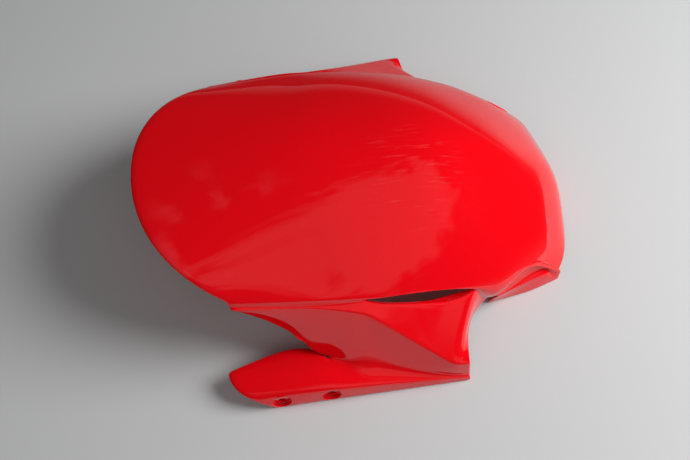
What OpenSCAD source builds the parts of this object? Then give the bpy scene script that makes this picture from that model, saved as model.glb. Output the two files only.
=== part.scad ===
// Front mudguard of a sport motorcycle: one moulded, painted shell.
// It stands as it rests on a table, on the bottom edges of its two fork
// covers and of its tail. The nose points along -X, the tail along +X.
// Both sides are the same, mirrored in the plane y = 0.

/* [Overall] */
// Length from the nose tip to the foot of the tail
length = 367; // [340:1:394]
// Width over the two fork covers
width = 328; // [316:1:344]
// Height of the crown above the table
crown_h = 118; // [110:1:128]
// Wall of the moulding
wall = 3; // [2:0.25:3.5]

/* [Arch] */
// How far the crown lies behind the nose tip
crown_back = 164; // [150:1:180]
// Height of the nose tip
nose_h = 107; // [96:1:114]
// Half width of the arch at its shoulder
shoulder_w = 110; // [104:1:114]
// Height of the shoulder at the nose corners
corner_h = 82; // [76:1:90]
// How far the nose corners lie behind the nose tip
corner_back = 63; // [56:1:78]
// Height of the shoulder at the start of the air slot
shoulder_h = 74; // [68:1:78]
// How far the middle of the tail bulges behind its corners
tail_bulge = 20; // [12:1:26]
// Half width of the tail at its corners
tail_w = 84; // [78:1:90]

/* [Air slot] */
// Place where the slot starts, along the arch
slot_x = -13; // [-20:1:-5]
// Length of the slot in each shoulder
slot_length = 91; // [74:1:96]
// Height of the slot at its widest
slot_height = 9; // [6:0.5:12]

/* [Side wing] */
// Half width of the wing at its rear crease
crease_w = 159; // [152:1:162]
// Height of the wing's rear crease
crease_h = 24; // [18:1:28]
// Place of the wing's rear corner, along the arch
wing_x = 66; // [60:1:72]
// Place where the wing leaves the arch
root_x = 93; // [88:1:98]
// Height at which the wing leaves the arch
root_h = 17; // [13:1:22]

/* [Fork cover] */
// Height of the outer flank that carries the bolts
flank_h = 19; // [17:1:24]
// Place of the cover's front end
cover_x = -128; // [-134:1:-121]
// Half width of the gap between the two covers at their front
cover_gap = 134; // [128:1:138]
// Place of the notch where the cover leaves the arch
notch_x = -45; // [-52:1:-38]

/* [Bolts] */
// Clearance hole for each fixing bolt
bolt_hole = 6.6; // [5.5:0.1:8.6]
// Flat seat around each hole
bolt_seat = 15; // [13:0.5:16]
// Place of the front bolt along the cover
bolt_x = -87; // [-91:1:-83]
// Distance between the two bolts of a side
bolt_spacing = 40; // [36:1:44]
// Height of the bolts above the table
bolt_z = 9.5; // [9:0.25:11]

/* [Tail recess] */
// Depth of the recess in each side of the tail
recess_depth = 6; // [3:0.5:8]
// Height of the recess's upper edge
recess_h = 40; // [36:1:45]
// Height of the ledge below the recess
ledge_h = 20; // [16:1:24]

/* [Hidden] */
nose_x = -length / 2;
tail_x = length / 2;

// Columns run from the front edges to the tail, rows from the crown out.
// Stations along the arch: 0 front edge, 1 notch, 2 slot front,
// 3 slot rear, 4 wing root, 5 tail side, 6 tail edge
steps = [8, 4, 14, 3, 6, 8];
function sum_to(v, n) = n <= 0 ? 0 : v[n - 1] + sum_to(v, n - 1);
station = [for (k = [0:5]) each [for (i = [0:steps[k] - 1]) k + i / steps[k]], 6];
columns = len(station) - 1;
col_notch = sum_to(steps, 1);
col_slot = sum_to(steps, 2);
col_slot_end = sum_to(steps, 3);
col_root = sum_to(steps, 4);

// Rows: 0 crown, to the shoulder, over the brow to the slot's upper edge,
// the wing's inner edge, its crease, the valley, and the cover to the table
row_shoulder = 10;
row_brow = 13;
row_wing = 14;
row_crease = 19;
row_valley = 25;
row_cover = 26;
row_flank = 29;
row_foot = 32;
row_side = 22;

function mix(a, b, t) = a + (b - a) * t;
function ease(t) = t * t * (3 - 2 * t);
function clamp01(t) = min(1, max(0, t));
function unit(v) = v / max(norm(v), 1e-9);
function bezier(a, b, c, d, t) =
    pow(1 - t, 3) * a + 3 * pow(1 - t, 2) * t * b + 3 * (1 - t) * t * t * c + pow(t, 3) * d;
// How far along the arch each station lies, as a share of its slot's length
reach = [0, 0.75, 1.1, 2, 2.2, 2.5, 2.85];
function along(s) = let (k = min(floor(s), 5)) mix(reach[k], reach[k + 1], s - k);
// Slope at b of a smooth line through a, b and c, with steps g and h between them
function slope(a, b, c, g, h) = ((c - b) * g / h + (b - a) * h / g) / (g + h);
// Smooth curve through a list of points, one for each station from the first
function curve(p, s, first = 0) =
    let (n = len(p) - 1, k = min(floor(s - first), n - 1), t = s - first - k,
         a = p[k], b = p[k + 1], m = first + k, h = reach[m + 1] - reach[m],
         ma = k > 0 ? h * slope(p[k - 1], a, b, reach[m] - reach[m - 1], h) : b - a,
         mb = k < n - 1 ? h * slope(a, b, p[k + 2], h, reach[m + 2] - reach[m + 1]) : b - a)
    (2 * pow(t, 3) - 3 * t * t + 1) * a + (pow(t, 3) - 2 * t * t + t) * ma
    + (3 * t * t - 2 * pow(t, 3)) * b + (pow(t, 3) - t * t) * mb;

// Crown line in the plane y = 0, by station. The hip is where it turns down
// into the tail
crown_x = nose_x + crown_back;
hip_slope = 41;
hip = [tail_x - 41, 0, crown_h * 0.56];
hip_way = [cos(hip_slope), 0, -sin(hip_slope)];
tail_pull = [27, 34];
function crown(s) = s < 2
    ? bezier([nose_x, 0, nose_h], [nose_x + crown_back * 0.36, 0, mix(nose_h, crown_h, 0.45)],
             [crown_x - crown_back * 0.26, 0, crown_h], [crown_x, 0, crown_h], along(s) / reach[2])
    : s < 5 ? bezier([crown_x, 0, crown_h], [mix(crown_x, hip.x, 0.38), 0, crown_h],
             hip - hip_way * (hip.x - crown_x) * 0.55, hip, (along(s) - reach[2]) / (reach[5] - reach[2]))
    : bezier(hip, hip + hip_way * tail_pull[0], [tail_x, 0, tail_pull[1]], [tail_x, 0, 0], s - 5);

// Shoulder line, where the arch turns down into its side
slot_end = slot_x + slot_length;
corner = [nose_x + corner_back, shoulder_w - 6, corner_h];
tail_corner = [tail_x - tail_bulge, tail_w, 0];
shoulder_pts = [
    corner,
    [notch_x, shoulder_w, mix(corner_h, shoulder_h, 0.6)],
    [slot_x, shoulder_w + 1.5, shoulder_h],
    [slot_end, shoulder_w - 4, shoulder_h - 19.5],
    [root_x + 6, shoulder_w - 5, shoulder_h - 29],
    [tail_x - 54, tail_w + 3, recess_h],
    [tail_corner.x - 1, tail_w - 2.5, ledge_h * 0.65]];
function shoulder(s) = curve(shoulder_pts, s);

// Way the surface leaves the shoulder line, down and outward
function turn(s) = unit(curve([
    [0.82, 0.38, -0.42], [0.13, 0.85, -0.51], [0, 0.79, -0.62], [0, 0.74, -0.67],
    [0.04, 0.73, -0.68], [0.37, 0.56, -0.74], [-0.65, 0.7, -0.3]], s));

// How full the arch is at the crown, and how long it holds its turn at the side
fullness = [0.44, 0.37, 0.31, 0.26, 0.24, 0.27, 0.32];
hold = [0.32, 0.29, 0.26, 0.24, 0.23, 0.23, 0.24];
function arch(s, v) =
    let (a = crown(s), b = shoulder(s), w = norm(b - a))
    bezier(a, a + [0, w * curve(fullness, s), 0], b - turn(s) * w * curve(hold, s), b, v);

// Upper edge of the slot and of the tail recess
brow_pts = [
    corner + [1, 1.5, -2],
    shoulder_pts[1] + [0, 1.5, -2.5],
    shoulder_pts[2] + [0, 1.5, -3],
    shoulder_pts[3] + [0, 1.5, -3],
    [root_x + 1, shoulder_w - 7, root_h + 4],
    shoulder_pts[5] + [1, 1, -3],
    tail_corner + [0.4, -1, ledge_h * 0.52]];
// A line that keeps beside another one and eases over from station to station
function beside(p, q, s) = let (k = min(floor(s), len(p) - 2))
    mix(p[k] - q[k], p[k + 1] - q[k + 1], ease(s - k));
function brow(s) = shoulder(s) + beside(brow_pts, shoulder_pts, s) + (s > 2 && s < 3
    ? [0, 0, slot_height * 0.2] * sin(180 * (s - 2)) : [0, 0, 0]);

// Inner edge of the wing, below the slot: its widest place is near the rear
wing_pts = [
    corner + [2, 2.5, -4],
    brow_pts[1] + [0, 1.5, -2.5],
    brow_pts[2] + [0, 0.5, -1.5],
    brow_pts[3] + [0, 0, -1.5],
    [root_x, shoulder_w - 8, root_h]];
slot_widest = 0.72;
function gape(t) = t < slot_widest ? 1 - pow(1 - t / slot_widest, 1.8)
    : 1 - pow((t - slot_widest) / (1 - slot_widest), 1.4);
function wing_in(s) = shoulder(s) + beside(wing_pts, shoulder_pts, s) + (s > 2 && s < 3
    ? [0, 0.5, -0.65] * slot_height * gape(s - 2) : [0, 0, 0]);

// Crease of the wing, from the slot's front to the rear corner
crease_pts = [
    corner + [4, 3.5, -6],
    shoulder_pts[1] + [0, 4, -8],
    shoulder_pts[2] + [0, 10, -10],
    [wing_x - 14, crease_w - 1, crease_h + 1],
    [wing_x, crease_w, crease_h]];
function crease(s) = s < 2 || s > 3 ? curve(crease_pts, s) : mix(crease_pts[2], crease_pts[3], s - 2);

// Valley between the arch's skirt and the fork cover
foot_w = width / 2;
skirt_tip = [notch_x - 22, shoulder_w + 12.5, mix(flank_h, corner_h, 0.34)];
valley_pts = [
    skirt_tip,
    [notch_x, foot_w - 29.5, flank_h + 1],
    [slot_x, foot_w - 23, flank_h - 4],
    [wing_x - 14, foot_w - 5, crease_h - 16],
    [wing_x + 1, foot_w - 3, crease_h - 18]];
function valley(s) = curve(valley_pts, s);

// Inner edge of the fork cover ahead of the notch
cover_tip = [cover_x, cover_gap, flank_h];
function cover_in(s) = s >= 1 ? valley(s)
    : bezier(cover_tip, mix(cover_tip, [notch_x - 24, foot_w - 44, flank_h + 2], 0.6),
             [notch_x - 20, foot_w - 52, flank_h + 4], valley_pts[1], s);

// Top of the flank and its bottom edge on the table
flank_pts = [
    [cover_x + 8, foot_w - 8, flank_h - 3],
    [notch_x, foot_w - 2, flank_h],
    [slot_x, foot_w - 2, flank_h * 0.8],
    [wing_x - 14, foot_w - 1, flank_h * 0.4],
    [wing_x + 1, foot_w - 1, flank_h * 0.3]];
function flank(s) = curve(flank_pts, s);
foot_pts = [
    [cover_x + 24, foot_w - 1, 0],
    [notch_x, foot_w, 0],
    [slot_x, foot_w, 0],
    [wing_x - 14, foot_w, 0],
    [wing_x + 2, foot_w, 0]];
function foot(s) = curve(foot_pts, s);

// Side of the tail: recess, ledge and lower edge
side_foot_pts = [[root_x - 4, tail_w + 15, 0], [tail_x - 52, tail_w + 9.5, 0], tail_corner];
function side_foot(s) = curve(side_foot_pts, s, 4);
ledge_pts = [[root_x + 2, shoulder_w - 6, root_h - 1], [tail_x - 44, tail_w + 5, ledge_h],
             tail_corner + [0, 0.5, ledge_h * 0.35]];
function ledge(s) = curve(ledge_pts, s, 4);
function recess(s) = recess_depth * ease(clamp01((s - 4.1) / 0.9)) * ease(clamp01((5.9 - s) / 0.6));

function tail_side(s, j) =
    let (top = brow(s), low = ledge(s), base = side_foot(s),
         way = unit([-0.15, 1, 0]), d = recess(s))
    j <= 1 ? top - way * d * j
    : j <= 4 ? mix(top - way * d, low - way * d * 0.9, (j - 1) / 3)
    : j <= 5 ? low
    : mix(low, base, (j - 5) / (row_side - row_brow - 5));

// The wing's rear edge is hollow, and turns into the arch at its root
wing_hollow = 18;
// The skirt sags a little ahead of the notch, and the cover's front is round
skirt_sag = 3;
front_round = 34;

// Soft fold from the wing's crease down to the flank, behind the notch
function fold(s, t) = bezier(crease(s), mix(crease(s), valley(s), 0.9),
                             mix(flank(s), valley(s), 0.8), flank(s), t);

// One point of the outer surface, for a column and a row of the right side
function skin(c, r) =
    let (s = station[c], soft = ease(clamp01(s - 1)))
    s > 1 && s <= 4 && r > row_crease && r < row_flank
        ? mix(plain(s, r), fold(s, (r - row_crease) / (row_flank - row_crease)), soft)
        : plain(s, r);
function plain(s, r) =
    r <= row_shoulder ? arch(s, r / row_shoulder)
    : r <= row_brow ? let (t = (r - row_shoulder) / (row_brow - row_shoulder))
        bezier(shoulder(s), shoulder(s) + turn(s) * norm(brow(s) - shoulder(s)) * 0.4,
               brow(s) + [0, 0.2, 0.6], brow(s), t)
    : s > 4 ? tail_side(s, min(r, row_side) - row_brow)
    : r <= row_wing ? wing_in(s)
    : r <= row_crease ? let (t = (r - row_wing) / (row_crease - row_wing))
        mix(wing_in(s), crease(s), t) - [wing_hollow * (1 - pow(1 - t, 4.5) - t) * ease(clamp01(s - 3)), 0, 0]
    : r <= row_valley ? let (t = (r - row_crease) / (row_valley - row_crease))
        mix(crease(s), valley(s), t) - [0, skirt_sag * sin(180 * t) * ease(clamp01(1 - s)), 0]
    : cover(s, r);

// The fork cover from its inner edge over the flank to the table
function cover_line(inner, top, low, r) = r <= row_flank
    ? mix(inner, top, (r - row_cover) / (row_flank - row_cover))
    : mix(top, low, (r - row_flank) / (row_foot - row_flank));
// Its front end is rounded, from the inner edge to the foot
function cover_end(r) =
    let (a = 90 * (r - row_cover) / (row_foot - row_cover))
    [cover_x + front_round * (1 - cos(a)), mix(cover_gap, foot_w, sin(a)), flank_h * cos(a * a / 90)];
function cover(s, r) = s >= 1
    ? cover_line(cover_in(s) + [0, 1.2, -0.4], flank(s), foot(s), r)
    : cover_line(cover_in(s), flank(s), foot(s), r)
        + (cover_end(r) - cover_line(cover_in(0), flank(0), foot(0), r)) * ease(1 - s);

// Both sides together: rows count from the left foot to the right foot
rows = 2 * row_foot;
function mirrored(p, side) = [p.x, p.y * side, p.z];
half = [for (c = [0:columns]) [for (r = [0:row_foot]) skin(c, r)]];
outer = [for (c = [0:columns]) [for (k = [0:rows])
    mirrored(half[c][abs(k - row_foot)], k < row_foot ? -1 : 1)]];

// A patch of the surface exists unless it is the slot, the notch or the
// open side behind the wing
function patch(c, k) =
    let (r = k < row_foot ? row_foot - 1 - k : k - row_foot)
    c < 0 || c >= columns || k < 0 || k >= rows ? false
    : r == row_brow && c >= col_slot && c < col_slot_end ? false
    : r == row_valley && c < col_notch ? false
    : c > col_root && r >= row_side ? false
    : !(c == col_root && r >= row_brow);

// Way out of the surface at one of its points, from its neighbours
function out(c, k) =
    let (fwd = patch(c, k) || patch(c, k - 1), back = patch(c - 1, k) || patch(c - 1, k - 1),
         up = patch(c, k) || patch(c - 1, k), down = patch(c, k - 1) || patch(c - 1, k - 1),
         du = outer[fwd ? c + 1 : c][k] - outer[back ? c - 1 : c][k],
         dv = outer[c][up ? k + 1 : k] - outer[c][down ? k - 1 : k])
    unit(cross(du, dv));
// The inner skin lies a wall further in, and the feet end flat on the table
function inward(p, n) = let (q = p - wall * n) [q.x, q.y, p.z > 0 ? max(q.z, 0) : 0];
inner = [for (c = [0:columns]) [for (k = [0:rows]) inward(outer[c][k], out(c, k))]];

// Bolt seats: a flat disc in the flank, with a boss behind it
seat_depth = 3.2;
seat_w = foot_w - seat_depth;
boss_h = 6;
boss_gap = 0.3;
boss_d = 2 * (bolt_z - boss_gap);

span = rows + 1;
deep = span * (columns + 1);
function at(c, k) = c * span + k;
function fan(q, side) = side < 0 ? [[q[0], q[1], q[2]], [q[0], q[2], q[3]]]
    : [[q[1], q[2], q[3]], [q[1], q[3], q[0]]];

module moulding() {
    polyhedron(
        concat([for (c = [0:columns]) each outer[c]], [for (c = [0:columns]) each inner[c]]),
        [for (c = [0:columns - 1]) for (k = [0:rows - 1]) if (patch(c, k))
            let (a = at(c, k), b = at(c + 1, k), d = at(c + 1, k + 1), e = at(c, k + 1),
                 side = k < row_foot ? -1 : 1)
            each concat(
                fan([a, e, d, b], side),
                fan([a + deep, b + deep, d + deep, e + deep], side),
                patch(c, k - 1) ? [] : fan([a, b, b + deep, a + deep], side),
                patch(c + 1, k) ? [] : fan([b, d, d + deep, b + deep], side),
                patch(c, k + 1) ? [] : fan([d, e, e + deep, d + deep], side),
                patch(c - 1, k) ? [] : fan([e, a, a + deep, e + deep], side))]);
}

// Bolt positions, each with its seat facing outward
module at_bolts() {
    for (side = [-1, 1]) for (i = [0, 1])
        translate([bolt_x + i * bolt_spacing, side * seat_w, bolt_z]) rotate([-side * 90, 0, 0]) children();
}

module fender_shell() {
    color("#d8101a")
        difference() {
            union() {
                moulding();
                at_bolts() translate([0, 0, -boss_h]) cylinder(h = boss_h + boss_gap, d = boss_d, $fn = 32);
            }
            at_bolts() cylinder(h = wall * 3, d = bolt_seat, $fn = 32);
            at_bolts() translate([0, 0, -boss_h - 1]) cylinder(h = boss_h + 2, d = bolt_hole, $fn = 32);
        }
}

fender_shell();
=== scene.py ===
# Front mudguard of a sport motorcycle, seen from above as it lies on a pale table.
# One moulded plastic shell, painted gloss red, resting on its fork covers and tail.
import math

import bmesh
import bpy
from mathutils import Matrix, Vector


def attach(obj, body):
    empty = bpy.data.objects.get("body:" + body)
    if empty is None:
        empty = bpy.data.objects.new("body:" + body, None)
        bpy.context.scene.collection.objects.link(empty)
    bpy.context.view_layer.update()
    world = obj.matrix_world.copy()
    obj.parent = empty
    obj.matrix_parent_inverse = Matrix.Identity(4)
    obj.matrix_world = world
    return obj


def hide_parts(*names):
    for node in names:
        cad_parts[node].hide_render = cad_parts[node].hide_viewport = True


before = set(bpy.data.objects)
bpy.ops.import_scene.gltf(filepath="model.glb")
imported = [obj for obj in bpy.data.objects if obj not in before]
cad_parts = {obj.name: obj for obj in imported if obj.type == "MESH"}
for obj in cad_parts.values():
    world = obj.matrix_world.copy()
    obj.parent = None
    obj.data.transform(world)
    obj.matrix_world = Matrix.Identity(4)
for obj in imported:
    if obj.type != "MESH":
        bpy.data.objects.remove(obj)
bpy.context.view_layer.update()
mm = 0.001

# The viewpoint: a hand-held camera above the near side of the part, looking
# down about 60 degrees. It is level to within a degree of the table's edge.
camera_place = Vector((-86.8, -446.5, 769.5)) * mm
look = Vector((0.084, 0.4933, -0.8658)).normalized()
right = Vector((0.9878, -0.1555, 0.0073))
right = (right - look * right.dot(look)).normalized()
picture_width = 690
focal_pixels = 1000

camera_data = bpy.data.cameras.new("camera")
camera_data.sensor_width = 36
camera_data.lens = camera_data.sensor_width * focal_pixels / picture_width
camera = bpy.data.objects.new("camera", camera_data)
bpy.context.scene.collection.objects.link(camera)
turn_matrix = Matrix((right, right.cross(look), -look)).transposed()
camera.matrix_world = Matrix.Translation(camera_place) @ turn_matrix.to_4x4()
bpy.context.scene.camera = camera

# The shell: an arch over the wheel, with an air slot in each shoulder, a wing
# that runs down to each fork cover, and a recess in each side of the tail.
# It is injection moulded in one piece with a wall of about 3 mm.
length, width, crown_h, wall = 367, 328, 118, 3
nose_x, tail_x = -length / 2, length / 2
crown_back, nose_h = 164, 107
shoulder_w, shoulder_h = 110, 74
corner_h, corner_back = 82, 63
tail_bulge, tail_w = 20, 84
hip_back, hip_slope, tail_pull = 41, 41, (27, 34)
slot_x, slot_length, slot_height, slot_widest = -13, 91, 9, 0.72
lip_w, lip_drop, lip_start = 2.6, 2.6, 0.58
crease_w, crease_h, wing_x, wing_hollow = 159, 24, 66, 18
root_x, root_h = 93, 17
flank_h, cover_x, cover_gap, notch_x = 19, -128, 134, -45
front_round, skirt_sag = 34, 3
recess_depth, recess_h, ledge_h = 6, 40, 20


def mix(a, b, t):
    return a + (b - a) * t


def ease(t):
    t = min(1, max(0, t))
    return t * t * (3 - 2 * t)


def bezier(a, b, c, d, t):
    return (1 - t) ** 3 * a + 3 * (1 - t) ** 2 * t * b + 3 * (1 - t) * t * t * c + t ** 3 * d


# How far along the arch each station lies. Only the spacing between them matters.
reach = [0, 0.75, 1.1, 2, 2.2, 2.5, 2.85]


def along(s):
    k = min(int(s), 5)
    return mix(reach[k], reach[k + 1], s - k)


def slope(a, b, c, g, h):
    """Slope at b of a curve through a, b and c, which lie g and then h apart."""
    return ((c - b) * g / h + (b - a) * h / g) / (g + h)


def curve(points, s, first=0):
    """Smooth curve through points or numbers, one for each station from the first."""
    last = len(points) - 1
    k = min(int(s - first), last - 1)
    t = s - first - k
    a, b, m = points[k], points[k + 1], first + k
    h = reach[m + 1] - reach[m]
    before, after = b - a, b - a
    if k > 0:
        before = slope(points[k - 1], a, b, reach[m] - reach[m - 1], h) * h
    if k < last - 1:
        after = slope(a, b, points[k + 2], h, reach[m + 2] - reach[m + 1]) * h
    return ((2 * t ** 3 - 3 * t * t + 1) * a + (t ** 3 - 2 * t * t + t) * before
            + (3 * t * t - 2 * t ** 3) * b + (t ** 3 - t * t) * after)


def vectors(*points):
    return [Vector(p) for p in points]


# Stations along the arch: 0 front edge, 1 notch, 2 slot front, 3 slot rear,
# 4 wing root, 5 tail side, 6 tail edge. Rows run from the crown outwards, with
# two more of them at the slot, for the lip below it.
steps = [8, 4, 14, 3, 6, 8]
station = [k + i / n for k, n in enumerate(steps) for i in range(n)] + [6]
columns = len(station) - 1
col_notch, col_slot = steps[0], sum(steps[:2])
col_slot_end, col_root = sum(steps[:3]), sum(steps[:4])
row_shoulder, row_brow, row_wing, row_crease, row_valley = 10, 13, 14, 19, 25
row_cover, row_flank, row_foot, row_side = 26, 29, 32, 22
row_lip, row_step = 13.4, 13.7
levels = sorted([*range(row_foot + 1), row_lip, row_step])

crown_x = nose_x + crown_back
slot_end = slot_x + slot_length
foot_w = width / 2
corner = Vector((nose_x + corner_back, shoulder_w - 6, corner_h))
tail_corner = Vector((tail_x - tail_bulge, tail_w, 0))
hip = Vector((tail_x - hip_back, 0, crown_h * 0.56))
hip_way = Vector((math.cos(math.radians(hip_slope)), 0, -math.sin(math.radians(hip_slope))))


def crown(s):
    """The arch's middle line: front edge, level crown, hip and steep tail."""
    if s < 2:
        return bezier(*vectors(
            (nose_x, 0, nose_h), (nose_x + crown_back * 0.36, 0, mix(nose_h, crown_h, 0.45)),
            (crown_x - crown_back * 0.26, 0, crown_h), (crown_x, 0, crown_h)), along(s) / reach[2])
    if s < 5:
        top, level_end = vectors((crown_x, 0, crown_h), (mix(crown_x, hip.x, 0.38), 0, crown_h))
        return bezier(top, level_end, hip - hip_way * (hip.x - crown_x) * 0.55, hip,
                      (along(s) - reach[2]) / (reach[5] - reach[2]))
    return bezier(hip, hip + hip_way * tail_pull[0], Vector((tail_x, 0, tail_pull[1])),
                  Vector((tail_x, 0, 0)), s - 5)


shoulder_line = vectors(
    corner, (notch_x, shoulder_w, mix(corner_h, shoulder_h, 0.6)),
    (slot_x, shoulder_w + 1.5, shoulder_h), (slot_end, shoulder_w - 4, shoulder_h - 19.5),
    (root_x + 6, shoulder_w - 5, shoulder_h - 29), (tail_x - 54, tail_w + 3, recess_h),
    (tail_corner.x - 1, tail_w - 2.5, ledge_h * 0.65))
turn_line = vectors(
    (0.82, 0.38, -0.42), (0.13, 0.85, -0.51), (0, 0.79, -0.62), (0, 0.74, -0.67),
    (0.04, 0.73, -0.68), (0.37, 0.56, -0.74), (-0.65, 0.7, -0.3))
fullness = [0.44, 0.37, 0.31, 0.26, 0.24, 0.27, 0.32]
hold = [0.32, 0.29, 0.26, 0.24, 0.23, 0.23, 0.24]


def arch(s, v):
    """Half of the arch's section at a station, from the crown to the shoulder."""
    a, b = crown(s), curve(shoulder_line, s)
    w = (b - a).length
    return bezier(a, a + Vector((0, w * curve(fullness, s), 0)),
                  b - curve(turn_line, s).normalized() * w * curve(hold, s), b, v)


def beside(point, x, y, z):
    return point + Vector((x, y, z))


def apart(points, others, s):
    """How far one line keeps from another, eased over from station to station."""
    k = min(int(s), len(points) - 2)
    return mix(points[k] - others[k], points[k + 1] - others[k + 1], ease(s - k))


brow_line = [
    beside(corner, 1, 1.5, -2), beside(shoulder_line[1], 0, 1.5, -2.5),
    beside(shoulder_line[2], 0, 1.5, -3), beside(shoulder_line[3], 0, 1.5, -3),
    Vector((root_x + 1, shoulder_w - 7, root_h + 4)), beside(shoulder_line[5], 1, 1, -3),
    beside(tail_corner, 0.4, -1, ledge_h * 0.52)]
wing_line = [
    beside(corner, 2, 2.5, -4), beside(brow_line[1], 0, 1.5, -2.5),
    beside(brow_line[2], 0, 0.5, -1.5), beside(brow_line[3], 0, 0, -1.5),
    Vector((root_x, shoulder_w - 8, root_h))]
crease_line = [
    beside(corner, 4, 3.5, -6), beside(shoulder_line[1], 0, 4, -8),
    beside(shoulder_line[2], 0, 10, -10), Vector((wing_x - 14, crease_w - 1, crease_h + 1)),
    Vector((wing_x, crease_w, crease_h))]


def brow(s):
    """Lower edge of the shoulder, which is the slot's upper edge."""
    lift = math.sin(math.pi * (s - 2)) if 2 < s < 3 else 0
    side = curve(shoulder_line, s) + apart(brow_line, shoulder_line, s)
    return side + Vector((0, 0, slot_height * 0.2)) * lift


def wing_in(s):
    """Upper edge of the wing, which is the slot's lower edge."""
    t, gape = s - 2, 0
    if 0 < t < slot_widest:
        gape = 1 - (1 - t / slot_widest) ** 1.8
    elif slot_widest <= t < 1:
        gape = 1 - ((t - slot_widest) / (1 - slot_widest)) ** 1.4
    side = curve(shoulder_line, s) + apart(wing_line, shoulder_line, s)
    return side + Vector((0, 0.5, -0.65)) * slot_height * gape


def lip(s, r):
    """Lip of the wing, stepped down and in under the slot, wide at the slot's rear end."""
    t, middle = s - 2, mix(brow(s), wing_in(s), r - row_brow)
    if not 0 < t < 1:
        return middle
    wide = ease((t - lip_start) / 0.16)
    turned = wing_in(s) + Vector((0, -0.4, -lip_drop - 1.4 * wide))
    if r == row_lip:
        turned = turned + Vector((0, -lip_w - 3.2 * wide, -0.4))
    return mix(middle, turned, ease(min(t, 1 - t) / 0.1))


def crease(s):
    """The wing's sharp fold, straight below the slot."""
    if 2 <= s <= 3:
        return mix(crease_line[2], crease_line[3], s - 2)
    return curve(crease_line, s)


valley_line = vectors(
    (notch_x - 22, shoulder_w + 12.5, mix(flank_h, corner_h, 0.34)),
    (notch_x, foot_w - 29.5, flank_h + 1), (slot_x, foot_w - 23, flank_h - 4),
    (wing_x - 14, foot_w - 5, crease_h - 16), (wing_x + 1, foot_w - 3, crease_h - 18))
flank_line = vectors(
    (cover_x + 8, foot_w - 8, flank_h - 3), (notch_x, foot_w - 2, flank_h),
    (slot_x, foot_w - 2, flank_h * 0.8), (wing_x - 14, foot_w - 1, flank_h * 0.4),
    (wing_x + 1, foot_w - 1, flank_h * 0.3))
foot_line = vectors(
    (cover_x + 24, foot_w - 1, 0), (notch_x, foot_w, 0), (slot_x, foot_w, 0),
    (wing_x - 14, foot_w, 0), (wing_x + 2, foot_w, 0))


def cover_in(s):
    """Inner edge of the fork cover, and behind the notch the wing's valley."""
    if s >= 1:
        return curve(valley_line, s)
    front = Vector((cover_x, cover_gap, flank_h))
    return bezier(front, mix(front, Vector((notch_x - 24, foot_w - 44, flank_h + 2)), 0.6),
                  Vector((notch_x - 20, foot_w - 52, flank_h + 4)), valley_line[1], s)


def cover(s, r):
    """The fork cover, from its inner edge over the flank to the foot."""
    rim = Vector((0, 1.2, -0.4)) if s >= 1 else Vector()
    if r <= row_flank:
        share = (r - row_cover) / (row_flank - row_cover)
        body = mix(cover_in(s) + rim, curve(flank_line, s), share)
        edge = mix(cover_in(0), flank_line[0], share)
    else:
        share = (r - row_flank) / (row_foot - row_flank)
        body = mix(curve(flank_line, s), curve(foot_line, s), share)
        edge = mix(flank_line[0], foot_line[0], share)
    if s >= 1:
        return body
    angle = math.pi / 2 * (r - row_cover) / (row_foot - row_cover)
    front = Vector((cover_x + front_round * (1 - math.cos(angle)),
                    mix(cover_gap, foot_w, math.sin(angle)),
                    flank_h * math.cos(angle * angle / (math.pi / 2))))
    return body + (front - edge) * ease(1 - s)


side_foot_line = vectors(
    (root_x - 4, tail_w + 15, 0), (tail_x - 52, tail_w + 9.5, 0), tail_corner)
ledge_line = vectors(
    (root_x + 2, shoulder_w - 6, root_h - 1), (tail_x - 44, tail_w + 5, ledge_h),
    tail_corner + Vector((0, 0.5, ledge_h * 0.35)))


def tail_side(s, j):
    """The tail's side: a recess with a ledge below it, gone at the tail's edge."""
    top, low, base = brow(s), curve(ledge_line, s, 4), curve(side_foot_line, s, 4)
    way = Vector((-0.15, 1, 0)).normalized()
    depth = recess_depth * ease((s - 4.1) / 0.9)
    if j <= 1:
        side = top - way * depth * j
    elif j <= 4:
        side = mix(top - way * depth, low - way * depth * 0.9, (j - 1) / 3)
    elif j <= 5:
        side = low
    else:
        side = mix(low, base, (j - 5) / (row_side - row_brow - 5))
    return mix(side, mix(top, base, j / (row_side - row_brow)), ease((s - 5.3) / 0.6))


def fold(s, t):
    """Soft fold from the wing's crease down to the flank, behind the notch."""
    top, valley, low = crease(s), curve(valley_line, s), curve(flank_line, s)
    return bezier(top, mix(top, valley, 0.9), mix(low, valley, 0.8), low, t)


def plain(s, r):
    """The outer surface of the right side, before the wing's folds are softened."""
    if r <= row_shoulder:
        return arch(s, r / row_shoulder)
    if r <= row_brow:
        start, end = curve(shoulder_line, s), brow(s)
        lead = curve(turn_line, s).normalized() * (end - start).length * 0.4
        share = (r - row_shoulder) / (row_brow - row_shoulder)
        return bezier(start, start + lead, end + Vector((0, 0.2, 0.6)), end, share)
    if s > 4:
        return tail_side(s, min(r, row_side) - row_brow)
    if r < row_wing:
        return lip(s, r)
    if r <= row_crease:
        t = (r - row_wing) / (row_crease - row_wing)
        hook = (1 - (1 - t) ** 4.5 - t) * wing_hollow * ease(s - 3)
        return mix(wing_in(s), crease(s), t) - Vector((hook, 0, 0))
    if r <= row_valley:
        t = (r - row_crease) / (row_valley - row_crease)
        sag = Vector((0, skirt_sag * math.sin(math.pi * t) * ease(1 - s), 0))
        return mix(crease(s), curve(valley_line, s), t) - sag
    return cover(s, r)


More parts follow.
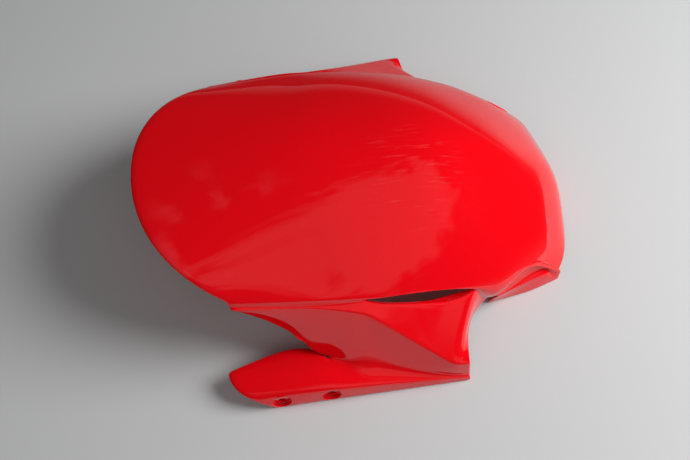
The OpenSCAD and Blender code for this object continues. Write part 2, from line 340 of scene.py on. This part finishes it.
def skin(c, r):
    """One point of the outer surface, with a slight swell on the wing and the skirt."""
    s = station[c]
    point = plain(s, r)
    if 1 < s <= 4 and row_crease < r < row_flank:
        share = (r - row_crease) / (row_flank - row_crease)
        point = mix(point, fold(s, share), ease(s - 1))
    if row_wing < r < row_valley and s < 4:
        swell = math.sin(math.pi * (r - row_wing) / (row_valley - row_wing)) ** 2
        point = point + Vector((0, 1.9, 0.9)) * swell * (1 - ease(s - 1.6))
    if row_crease < r < row_valley and s < 4:
        swell = math.sin(math.pi * (r - row_crease) / (row_valley - row_crease))
        point = point + Vector((0, 1.2, 0.8)) * swell * ease(s - 1.6) * (1 - ease(s - 3))
    return point


def is_open(c, r):
    """True where the shell has no wall: the slot, the notch and behind the wing."""
    return (r == row_brow and col_slot <= c < col_slot_end
            or r == row_valley and c < col_notch
            or c > col_root and r >= row_side
            or c == col_root and r >= row_brow)


def build_shell():
    """A flat grid, placed by skin() on both sides and opened where there is no wall."""
    half_rows = len(levels) - 1
    rows = 2 * half_rows
    bm = bmesh.new()
    bmesh.ops.create_grid(bm, x_segments=columns, y_segments=rows, size=1)
    cell = {}
    for v in bm.verts:
        c = round((v.co.x + 1) / 2 * columns)
        k = round((v.co.y + 1) / 2 * rows) - half_rows
        cell[v] = (c, k)
    opened = []
    for face in bm.faces:
        c = min(cell[v][0] for v in face.verts)
        r = levels[min(abs(cell[v][1]) for v in face.verts)]
        if is_open(c, r):
            opened.append(face)
    half = {}
    for v in bm.verts:
        c, k = cell[v]
        if (c, abs(k)) not in half:
            half[c, abs(k)] = skin(c, levels[abs(k)]) * mm
        p = half[c, abs(k)]
        v.co = (p.x, math.copysign(p.y, k) if k else 0, p.z)
    creases = bm.edges.layers.float.new("crease_edge")
    for edge in bm.edges:
        if all(levels[abs(cell[v][1])] == row_crease for v in edge.verts):
            edge[creases] = 0.55 * ease(station[min(cell[v][0] for v in edge.verts)] - 1.6)
    bmesh.ops.delete(bm, geom=opened, context="FACES")
    mesh = bpy.data.meshes.new("shell")
    bm.to_mesh(mesh)
    bm.free()
    mesh.shade_smooth()
    return mesh


shell = bpy.data.objects.new("shell", build_shell())
bpy.context.scene.collection.objects.link(shell)
thickness = shell.modifiers.new("wall", "SOLIDIFY")
thickness.thickness = wall * mm
thickness.offset = -1
thickness.use_even_offset = False
thickness.edge_crease_rim = 0.3
rounding = shell.modifiers.new("rounding", "SUBSURF")
rounding.levels = rounding.render_levels = 2

# Each fork cover has two bolt holes, with a flat sunk seat outside and a boss inside.
bolt_x, bolt_spacing, bolt_z = -87, 40, 9.5
bolt_hole, bolt_seat, seat_depth = 6.6, 15, 3.2
boss_d, boss_h, boss_gap = 13, 6, 0.3
seat_w = foot_w - seat_depth


def bolt_rods(name, start, end, diameter, operation):
    """Four rods through the bolt places, joined to the shell or cut out of it."""
    bm = bmesh.new()
    for side in (-1, 1):
        for x in (bolt_x, bolt_x + bolt_spacing):
            middle = Vector((x, side * (seat_w + (start + end) / 2), bolt_z)) * mm
            place = Matrix.Translation(middle) @ Matrix.Rotation(math.pi / 2, 4, "X")
            bmesh.ops.create_cone(bm, cap_ends=True, segments=48, depth=(end - start) * mm,
                                  radius1=diameter / 2 * mm, radius2=diameter / 2 * mm,
                                  matrix=place)
    mesh = bpy.data.meshes.new(name)
    bm.to_mesh(mesh)
    bm.free()
    rods = bpy.data.objects.new(name, mesh)
    rods.hide_render = True
    bpy.context.scene.collection.objects.link(rods)
    cut = shell.modifiers.new(name, "BOOLEAN")
    cut.object, cut.operation, cut.solver = rods, operation, "EXACT"


bolt_rods("bosses", -boss_h, boss_gap, boss_d, "UNION")
bolt_rods("seats", 0, 9, bolt_seat, "DIFFERENCE")
bolt_rods("holes", -boss_h - 1, 1, bolt_hole, "DIFFERENCE")
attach(shell, "root")
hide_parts("fender_shell")

# The paint: two-pack gloss red under clear lacquer, with a trace of orange peel,
# a few dull handling smears on the crown and a patch of fine scuffs behind them.
paint = bpy.data.materials.new("red_paint")
paint.use_nodes = True
paint_tree = paint.node_tree
shader = paint_tree.nodes["Principled BSDF"]
shader.inputs["Specular IOR Level"].default_value = 0.0
shader.inputs["Coat Weight"].default_value = 1.0
shader.inputs["Coat Roughness"].default_value = 0.03
shader.inputs["Coat IOR"].default_value = 1.7
place = paint_tree.nodes.new("ShaderNodeTexCoord").outputs["Object"]


def feed(tree, socket, value):
    """Give a socket a constant, or link another node's output to it."""
    if isinstance(value, bpy.types.NodeSocket):
        tree.links.new(value, socket)
    else:
        socket.default_value = value


def noise(tree, vector, scale, detail):
    node = tree.nodes.new("ShaderNodeTexNoise")
    for name, value in (("Vector", vector), ("Scale", scale), ("Detail", detail)):
        feed(tree, node.inputs[name], value)
    return node.outputs["Fac"]


def spread(tree, value, low, high, start=0.0, end=1.0):
    """Run from start to end, eased, while the value runs from low to high."""
    node = tree.nodes.new("ShaderNodeMapRange")
    node.interpolation_type = "SMOOTHSTEP"
    feed(tree, node.inputs["Value"], value)
    feed(tree, node.inputs["From Min"], low)
    feed(tree, node.inputs["From Max"], high)
    feed(tree, node.inputs["To Min"], start)
    feed(tree, node.inputs["To Max"], end)
    return node.outputs["Result"]


def reckon(tree, operation, a, b):
    node = tree.nodes.new("ShaderNodeMath")
    node.operation = operation
    feed(tree, node.inputs[0], a)
    feed(tree, node.inputs[1], b)
    return node.outputs["Value"]


def distance(tree, vector, point):
    node = tree.nodes.new("ShaderNodeVectorMath")
    node.operation = "DISTANCE"
    feed(tree, node.inputs[0], vector)
    feed(tree, node.inputs[1], point)
    return node.outputs["Value"]


def blended(tree, factor, a, b):
    """Colour that goes from a to b with the factor."""
    node = tree.nodes.new("ShaderNodeMix")
    node.data_type = "RGBA"
    for name, value in (("Factor", factor), ("A", a), ("B", b)):
        feed(tree, node.inputs[name], value)
    return node.outputs["Result"]


def patch(x, y, z, radius):
    """One at a place on the shell, fading to nothing at the radius."""
    away = distance(paint_tree, place, Vector((x, y, z)) * mm)
    return spread(paint_tree, away, radius * 0.3 * mm, radius * mm, 1.0, 0.0)


blots = spread(paint_tree, noise(paint_tree, place, 28, 4), 0.5, 0.72)
smears = reckon(paint_tree, "MULTIPLY", patch(-115, -60, 113, 75), blots)
lengthwise = paint_tree.nodes.new("ShaderNodeMapping")
lengthwise.inputs["Scale"].default_value = (0.25, 3.2, 1)
paint_tree.links.new(place, lengthwise.inputs["Vector"])
streaks = spread(paint_tree, noise(paint_tree, lengthwise.outputs["Vector"], 170, 5), 0.55, 0.75)
scuffs = reckon(paint_tree, "MULTIPLY", patch(35, -30, 112, 62), streaks)
dull = reckon(paint_tree, "MAXIMUM", smears, scuffs)
clean_red, dull_red = (0.84, 0.0012, 0.006, 1), (0.88, 0.03, 0.04, 1)
feed(paint_tree, shader.inputs["Base Color"], blended(paint_tree, dull, clean_red, dull_red))
feed(paint_tree, shader.inputs["Roughness"], spread(paint_tree, dull, 0.0, 1.0, 0.22, 0.42))
peel = paint_tree.nodes.new("ShaderNodeBump")
peel.inputs["Strength"].default_value = 0.06
peel.inputs["Distance"].default_value = 0.4 * mm
feed(paint_tree, peel.inputs["Height"], noise(paint_tree, place, 420, 1))
feed(paint_tree, shader.inputs["Normal"], peel.outputs["Normal"])
shell.data.materials.append(paint)

# The table: a plain pale top, far larger than the part. Its far side looks
# shaded where it shines in the lacquer, as if it ended there.
bm = bmesh.new()
bmesh.ops.create_grid(bm, x_segments=1, y_segments=1, size=0.95)
floor_mesh = bpy.data.meshes.new("floor")
bm.to_mesh(floor_mesh)
bm.free()
floor = bpy.data.objects.new("floor", floor_mesh)
bpy.context.scene.collection.objects.link(floor)
pale = bpy.data.materials.new("pale_table")
pale.use_nodes = True
table_tree = pale.node_tree
table_shader = table_tree.nodes["Principled BSDF"]
table_shader.inputs["Roughness"].default_value = 0.85
table_shader.inputs["Specular IOR Level"].default_value = 0.0
spot = table_tree.nodes.new("ShaderNodeSeparateXYZ")
feed(table_tree, spot.inputs[0], table_tree.nodes.new("ShaderNodeTexCoord").outputs["Object"])
far_side = spread(table_tree, spot.outputs["Y"], -0.05, 0.55)
in_lacquer = table_tree.nodes.new("ShaderNodeLightPath").outputs["Is Glossy Ray"]
shade = reckon(table_tree, "MULTIPLY", far_side, in_lacquer)
table_grey, shaded_grey = (0.61, 0.615, 0.62, 1), (0.06, 0.06, 0.06, 1)
feed(table_tree, table_shader.inputs["Base Color"],
     blended(table_tree, shade, table_grey, shaded_grey))
floor_mesh.materials.append(pale)

# The light: one large soft window high on the right, and a weak fill from the
# camera's side.


def soft_light(name, position, target, size, power):
    data = bpy.data.lights.new(name, "AREA")
    data.shape = "DISK"
    data.size = size
    data.energy = power
    lamp = bpy.data.objects.new(name, data)
    lamp.location = position
    lamp.rotation_euler = (Vector(target) - lamp.location).to_track_quat("-Z", "Y").to_euler()
    lamp.visible_glossy = False
    bpy.context.scene.collection.objects.link(lamp)


soft_light("window", (0.95, -0.15, 0.9), (-0.6, 0, 0), 0.9, 18.5)
soft_light("fill", (-0.2, -1.3, 1.2), (0, 0, 0), 1.6, 5)

# The room: dark above, as pale as the table below the skyline, which is softer
# towards the camera, and with a patch of haze overhead. Only what shines in the
# lacquer sees it. The rest of the light is even.
world = bpy.data.worlds.new("room")
bpy.context.scene.world = world
world.use_nodes = True
room_tree = world.node_tree


def grey(level):
    return (level, level, level, 1)


sky = room_tree.nodes.new("ShaderNodeTexCoord").outputs["Generated"]
way = room_tree.nodes.new("ShaderNodeSeparateXYZ")
feed(room_tree, way.inputs[0], sky)
skyline = spread(room_tree, way.outputs["Y"], -0.35, 0.1, 0.32, 0.04)
above = spread(room_tree, way.outputs["Z"], -0.25, skyline)
room = blended(room_tree, above, grey(0.4), grey(0.025))
off_haze = distance(room_tree, sky, (0.32, -0.36, 0.87))
ragged = reckon(room_tree, "ADD", off_haze, noise(room_tree, sky, 4, 8))
room = blended(room_tree, spread(room_tree, ragged, 0.98, 0.82), room, grey(0.24))
rays = room_tree.nodes.new("ShaderNodeLightPath").outputs
room = blended(room_tree, rays["Is Glossy Ray"], grey(0.12), room)
room = blended(room_tree, rays["Is Camera Ray"], room, grey(0.6))
feed(room_tree, room_tree.nodes["Background"].inputs["Color"], room)
bpy.context.scene.view_settings.view_transform = "Standard"
